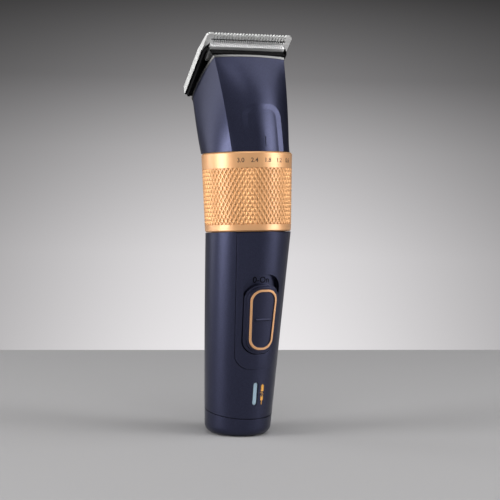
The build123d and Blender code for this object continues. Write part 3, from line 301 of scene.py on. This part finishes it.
def add_piece(name, mesh, body, paints, smooth=30.0):
    """A mesh as a piece of the object: painted, shaded and riding on a body."""
    for paint in paints:
        mesh.materials.append(paint)
    mesh.shade_smooth()
    mesh.set_sharp_from_angle(angle=radians(smooth))
    piece = bpy.data.objects.new(name, mesh)
    bpy.context.scene.collection.objects.link(piece)
    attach(piece, body)
    return piece


def mesh_from(form, name):
    """The finished mesh of a bmesh, its faces turned outwards."""
    bmesh.ops.recalc_face_normals(form, faces=form.faces)
    mesh = bpy.data.meshes.new(name)
    form.to_mesh(mesh)
    form.free()
    return mesh


def text_mesh(name, words, height, depth, bold):
    """Plain lettering as a solid mesh, centred on the origin in the XY plane.

    Its figures are this high, and each stroke is thickened by bold on either side.
    """
    curve = bpy.data.curves.new(name, "FONT")
    curve.body = words
    curve.size = height / FIGURE_SHARE
    curve.extrude = depth / 2
    curve.offset = bold
    curve.align_x = "CENTER"
    curve.align_y = "CENTER"
    curve.resolution_u = 4
    holder = bpy.data.objects.new(name, curve)
    bpy.context.scene.collection.objects.link(holder)
    bpy.context.view_layer.update()
    evaluated = holder.evaluated_get(bpy.context.evaluated_depsgraph_get())
    mesh = bpy.data.meshes.new_from_object(evaluated)
    bpy.data.objects.remove(holder)
    bpy.data.curves.remove(curve)
    return mesh


def skin_of(names):
    """The faces of some CAD nodes, to lay print on."""
    spots = []
    faces = []
    for name in names:
        node = nodes[name]
        start = len(spots)
        spots += [node.matrix_world @ spot.co for spot in node.data.vertices]
        faces += [[start + index for index in face.vertices] for face in node.data.polygons]
    return BVHTree.FromPolygons(spots, faces)


def lay_on(mesh, skin, x, z, proud):
    """Lays a flat mesh on the front of a surface, its middle at a place in X and Z."""
    for spot in mesh.vertices:
        start = Vector((x + spot.co.x, -RAY_AHEAD, z + spot.co.y))
        hit = skin.ray_cast(start, BACKWARD)[0]
        spot.co = Vector((start.x, hit.y - proud - spot.co.z, start.z))


# --------------------------------------------------------------------- ring ----
ring_origin = Vector(joints["taper_turn"]["pos_m"])
ring_up = Vector(joints["taper_turn"]["axis"]).normalized()
ring_turn = Matrix((SIDEWAYS, ring_up.cross(SIDEWAYS), ring_up)).transposed().to_4x4()
ring_matrix = Matrix.Translation(ring_origin) @ ring_turn

RING_H = 35.5 * MM
RING_R_LOW = 19.3 * MM
RING_R_HIGH = 20.4 * MM
KNURL_LOW = 3.3 * MM        # the band's ends, above the ring's lower face
KNURL_HIGH = 28.2 * MM
KNURL_COUNT = 60            # cells round the band
KNURL_ROWS = 14             # half-cell rows along the band, an even number
KNURL_DEPTH = 0.42 * MM
KNURL_CROWN = 0.03          # fall of a ridge's flat, as a share of the depth
KNURL_TOP = 0.84            # a cell inside its ridges' flats, as a share of its pitch
KNURL_FLOOR = 0.22          # its floor, likewise
KNURL_WALL = 0.75 * MM
KNURL_SMOOTH = 20.0

NUMBERS = ("3.0", "2.4", "1.8", "1.2", "0.6")
NUMBER_STEP = radians(17.5)
NUMBER_H = 31.5 * MM        # above the ring's lower face
NUMBER_TALL = 2.0 * MM
NUMBER_THICK = 0.06 * MM
NUMBER_BOLD = 0.02 * MM


def ring_r(height):
    """The ring's outer radius at a height above its lower face."""
    return RING_R_LOW + (RING_R_HIGH - RING_R_LOW) * height / RING_H


def make_knurl():
    """The knurled band: raised crossing ridges round sunk diamond cells.

    A step is half a cell round the band, and a row is half a cell along it.
    """
    form = bmesh.new()
    row_h = (KNURL_HIGH - KNURL_LOW) / KNURL_ROWS
    known = {}

    def vertex(step, row, depth):
        spot = (round(step % (2 * KNURL_COUNT), 4), round(row, 4), round(depth, 7))
        if spot not in known:
            angle = pi * step / KNURL_COUNT
            height = KNURL_LOW + row * row_h
            radius = ring_r(height) - depth
            local = Vector((radius * cos(angle), radius * sin(angle), height))
            known[spot] = form.verts.new(ring_matrix @ local)
        return known[spot]

    # The outlines of a cell, from the middle of its ridges to its floor.
    rings = ((1.0, 0.0), (KNURL_TOP, KNURL_CROWN * KNURL_DEPTH), (KNURL_FLOOR, KNURL_DEPTH))
    for row in range(KNURL_ROWS + 1):
        corners = [(-1, 0), (0, -1), (1, 0), (0, 1)]
        open_side = None
        if row == 0:
            corners = [(-1, 0), (1, 0), (0, 1)]
            open_side = 0
        if row == KNURL_ROWS:
            corners = [(-1, 0), (0, -1), (1, 0)]
            open_side = 2
        for step in range(row % 2, 2 * KNURL_COUNT, 2):
            middle = step + 1
            loops = [[vertex(middle + x * share, row + y * share, depth) for x, y in corners]
                     for share, depth in rings]
            for band, (outer, inner) in enumerate(zip(loops, loops[1:])):
                for i in range(len(corners)):
                    if i != open_side:
                        j = (i + 1) % len(corners)
                        side = form.faces.new((outer[i], outer[j], inner[j], inner[i]))
                        side.material_index = band
            form.faces.new(loops[-1]).material_index = 1

    # The band's ends and its plain inner wall.
    walls = []
    for row in (0, KNURL_ROWS):
        rim = []
        for step in range(row % 2, 2 * KNURL_COUNT, 2):
            middle = step + 1
            rim += [vertex(middle - share, row, depth) for share, depth in rings]
            rim += [vertex(middle + share, row, depth) for share, depth in reversed(rings[1:])]
        inside = []
        for spot in rim:
            local = ring_matrix.inverted() @ spot.co
            flat = Vector((local.x, local.y, 0)).normalized() * (ring_r(local.z) - KNURL_WALL)
            inside.append(form.verts.new(ring_matrix @ Vector((flat.x, flat.y, local.z))))
        for i in range(len(rim)):
            j = (i + 1) % len(rim)
            form.faces.new((rim[i], rim[j], inside[j], inside[i]))
        walls.append(inside)
    lower, upper = walls
    for i in range(len(lower)):
        j = (i + 1) % len(lower)
        form.faces.new((lower[i], lower[j], upper[j], upper[i]))
    # the ridges' flats take the copper, the cells' walls and floors a darker uncoated copy of it: painted shade in
    # the cells
    paints = [materials["copper_metal"], knurl_gold_painted_shade]
    knurl = add_piece("knurl", mesh_from(form, "knurl"), "taper_ring", paints,
                      KNURL_SMOOTH)
    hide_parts("knurled_band")


def make_numbers():
    """The dark numbers on the ring's upper band."""
    for index, words in enumerate(NUMBERS):
        middle = (index - len(NUMBERS) // 2) * NUMBER_STEP
        mesh = text_mesh("number", words, NUMBER_TALL, NUMBER_THICK, NUMBER_BOLD)
        for spot in mesh.vertices:
            height = NUMBER_H + spot.co.y
            angle = middle + spot.co.x / ring_r(height)
            radius = ring_r(height) + spot.co.z
            spot.co = ring_matrix @ Vector((radius * sin(angle), -radius * cos(angle), height))
        add_piece("number_" + words.replace(".", "_"), mesh, "taper_ring", [ink])


# ------------------------------------------------------------- handle print ----
WORDS_X = -0.5 * MM
WORDS_Z = 71.7 * MM
WORDS_TALL = 2.75 * MM
WORDS_THICK = 0.04 * MM
WORDS_BOLD = 0.04 * MM
WORDS_PROUD = 0.035 * MM    # the letters' middle stands this far off the well's floor
ICON_X = 3.5 * MM
ICON_THICK = 0.05 * MM
ICON_PROUD = 0.02 * MM
ICON_BLOCKS = (             # height, side, width and length of each printed block, in mm
    (22.4, 0.0, 1.5, 2.9),      # the battery and its pole
    (24.05, 0.0, 0.7, 0.4),
    (20.35, -0.3, 1.5, 0.28),   # two dashes
    (19.75, 0.2, 1.2, 0.28),
    (17.7, 0.0, 1.4, 1.7),      # the plug, its two prongs and its cord
    (18.9, -0.4, 0.28, 0.7),
    (18.9, 0.4, 0.28, 0.7),
    (15.9, 0.0, 0.35, 1.9),
)


def make_switch_words():
    """The black letters above the power button, on the floor of its well."""
    mesh = text_mesh("switch_words", "0-On", WORDS_TALL, WORDS_THICK, WORDS_BOLD)
    lay_on(mesh, skin_of(["handle_housing", "front_panel"]), WORDS_X, WORDS_Z, WORDS_PROUD)
    add_piece("switch_words", mesh, "housing", [letter_black])


def make_charge_icon():
    """A battery and a plug, printed beside the charge light."""
    form = bmesh.new()
    for z, x, wide, high in ICON_BLOCKS:
        size = Matrix.Diagonal((wide * MM, high * MM, ICON_THICK, 1))
        place = Matrix.Translation((x * MM, z * MM, 0))
        bmesh.ops.create_cube(form, size=1.0, matrix=place @ size)
    mesh = mesh_from(form, "charge_icon")
    lay_on(mesh, skin_of(["handle_housing"]), ICON_X, 0.0, ICON_PROUD)
    add_piece("charge_icon", mesh, "housing", [print_gold])


ink = moulded("dark_fill", (0.040, 0.020, 0.010), 0.45)
letter_black = moulded("letter_black", (0.0012, 0.0012, 0.0014), 0.60, shine=0.04)
# a darker, uncoated copy of the copper for the knurl's cells: painted shade
knurl_gold_painted_shade = plated("knurl_gold_painted_shade", (0.70, 0.36, 0.150), 0.42, metal=0.60, coat=0.0)
print_gold = moulded("gold_print", (0.78, 0.38, 0.06), 0.45)
make_knurl()
make_numbers()
make_switch_words()
make_charge_icon()


# --------------------------------------------------------- floor and lights ----
FLOOR_WIDE = 1.0
FLOOR_NEAR = 0.45           # from the clipper's axis to the near edge
FLOOR_FAR = 0.27            # and to the far edge
FLOOR_TURN = radians(9.5)
AIM = Vector((0, 0, 0.09))  # what the lamps point at

# The backdrop's levels, as place and grey from its foot to its head, with the ends first.
BACKDROP = ((0.0, 0.84), (1.0, 0.065), (0.28, 0.73), (0.57, 0.46), (0.77, 0.21))
BACKDROP_TINT = Vector((1.0, 0.975, 0.99))
BACKDROP_FOOT = -0.14       # sines of their angles above the horizon
BACKDROP_HEAD = 0.06
SPOT_FALL = 35.0            # how fast the lit spot fades to the sides
ROOM_LEVEL = 0.30           # what is left of it round the room
NEAR_LEVEL = 0.6            # the light behind the camera, as a share of that ahead
NEAR_COS = -0.2             # cosines, from straight ahead, where the one becomes the other
FAR_COS = 0.7


def make_floor():
    """A plain pale table top, its far edge level in the view."""
    half = FLOOR_WIDE / 2
    mesh = bpy.data.meshes.new("floor")
    form = bmesh.new()
    corners = ((-half, -FLOOR_NEAR), (half, -FLOOR_NEAR), (half, FLOOR_FAR), (-half, FLOOR_FAR))
    form.faces.new([form.verts.new((x, y, 0)) for x, y in corners])
    form.to_mesh(mesh)
    form.free()
    floor = bpy.data.objects.new("floor", mesh)
    floor.rotation_euler.z = VIEW_AZIMUTH + FLOOR_TURN
    bpy.context.scene.collection.objects.link(floor)
    paint = Paint("floor_paint", (0.46, 0.455, 0.46), 0.60, Specular_IOR_Level=0.25)
    paint.vary_rough(paint.noise(6.0, 3.0), 0.57, 0.63)
    mesh.materials.append(paint.material)


def make_light(name, azimuth, elevation, distance, size, power):
    """A white soft box aimed at the clipper, placed by its angles in degrees about it."""
    azimuth, elevation = radians(azimuth), radians(elevation)
    away = Vector((sin(azimuth) * cos(elevation), -cos(azimuth) * cos(elevation), sin(elevation)))
    data = bpy.data.lights.new(name, "AREA")
    data.shape = "RECTANGLE"
    data.size, data.size_y = size
    data.energy = power
    lamp = bpy.data.objects.new(name, data)
    turn = away.to_track_quat("Z", "Y").to_matrix().to_4x4()
    lamp.matrix_world = Matrix.Translation(AIM + away * distance) @ turn
    lamp.visible_camera = False
    bpy.context.scene.collection.objects.link(lamp)


def make_world():
    """A lit backdrop behind the table top, dark overhead, in a dim room."""
    world = bpy.data.worlds.new("studio")
    world.use_nodes = True
    tree = world.node_tree
    where = tree.nodes.new("ShaderNodeTexCoord").outputs["Generated"]

    def along(axis):
        """How far the way looked in points along an axis."""
        made = tree.nodes.new("ShaderNodeVectorMath")
        made.operation = "DOT_PRODUCT"
        made.inputs[1].default_value = axis
        tree.links.new(where, made.inputs[0])
        return made.outputs["Value"]

    def spread(source, start, end, low, high):
        """From low to high as the source goes from start to end, and held beyond."""
        made = tree.nodes.new("ShaderNodeMapRange")
        made.inputs["From Min"].default_value = start
        made.inputs["From Max"].default_value = end
        made.inputs["To Min"].default_value = low
        made.inputs["To Max"].default_value = high
        tree.links.new(source, made.inputs["Value"])
        return made.outputs["Result"]

    def combine(way, first, second):
        """One sum on two sockets."""
        made = tree.nodes.new("ShaderNodeMath")
        made.operation = way
        tree.links.new(first, made.inputs[0])
        tree.links.new(second, made.inputs[1])
        return made.outputs["Value"]

    ramp = tree.nodes.new("ShaderNodeValToRGB")
    steps = ramp.color_ramp.elements
    for index, (place, level) in enumerate(BACKDROP):
        step = steps[index] if index < 2 else steps.new(place)
        step.position = place
        step.color = (*(level * BACKDROP_TINT), 1.0)
    rise = spread(along((0, 0, 1)), BACKDROP_FOOT, BACKDROP_HEAD, 0.0, 1.0)
    tree.links.new(rise, ramp.inputs["Fac"])
    aside = along(VIEW_RIGHT)
    falloff = spread(combine("MULTIPLY", aside, aside), 0.0, 1.0, 1.0, 1.0 + SPOT_FALL)
    ahead = spread(along(VIEW_AHEAD), NEAR_COS, FAR_COS, NEAR_LEVEL, 1.0)
    room = spread(ahead, 0.0, 1.0, 0.0, ROOM_LEVEL)
    light = combine("MAXIMUM", combine("DIVIDE", ahead, falloff), room)
    background = tree.nodes["Background"]
    tree.links.new(ramp.outputs["Color"], background.inputs["Color"])
    tree.links.new(light, background.inputs["Strength"])
    bpy.context.scene.world = world


make_camera()
make_floor()
make_world()
# Each lamp's azimuth and elevation in degrees, distance and size in metres, and power.
make_light("key_left", -93, 6, 1.1, (0.52, 1.2), 15.5)
make_light("fill_right", 46, 8, 1.2, (0.60, 1.2), 13.5)
make_light("front", -24, 14, 1.6, (1.6, 1.6), 2.7)
make_light("high_right", 60, 50, 1.2, (0.6, 0.6), 2.4)
make_light("top", -20, 72, 1.2, (0.8, 0.8), 7.0)
make_light("side_left", -134, 10, 1.2, (0.45, 1.0), 3.2)

bpy.context.scene.view_settings.view_transform = "Standard"
